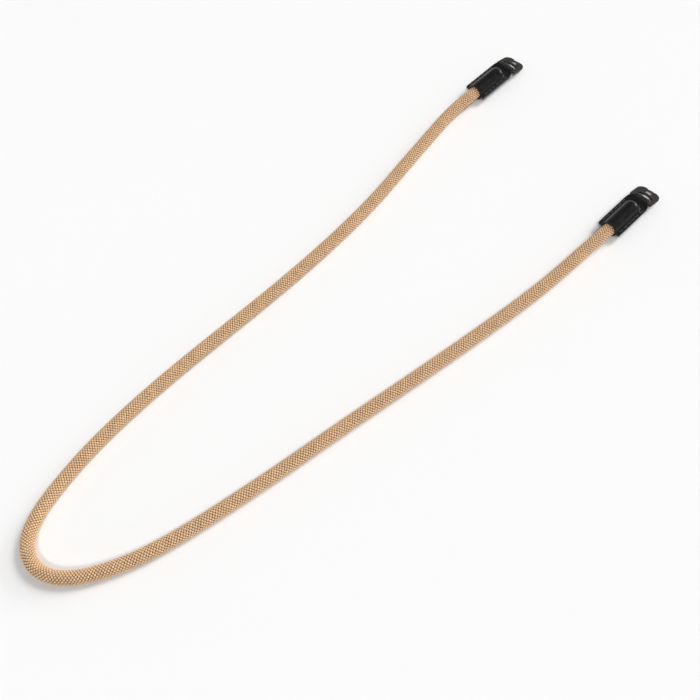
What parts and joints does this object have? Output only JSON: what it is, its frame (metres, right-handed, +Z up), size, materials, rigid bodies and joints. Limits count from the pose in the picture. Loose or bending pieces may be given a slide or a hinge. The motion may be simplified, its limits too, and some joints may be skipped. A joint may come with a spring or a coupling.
{
  "type": "camera neck strap",
  "caption": "Round braided rope camera neck strap with folded leather end tabs, leather lug guards and split rings.",
  "frame": {"origin": "on the floor, under the middle of the box round the two leather and steel ends", "axes": "+X from end a to end b, +Y the way both ends point, +Z up"},
  "size_m": [0.1858, 0.5514, 0.0132],
  "materials": {
    "braided_cord": "round braid of tan yarn with a silky sheen",
    "black_leather": "smooth black leather, softly glossy",
    "guard_leather": "matt brownish black leather",
    "dark_steel": "dark blackened steel"
  },
  "bodies": {
    "root": {"rope": "braided_cord", "end_tab_a": "black_leather", "end_tab_b": "black_leather", "lug_guard_a": "guard_leather", "lug_guard_b": "guard_leather", "split_ring_a": "dark_steel", "split_ring_b": "dark_steel"}
  },
  "joints": []
}
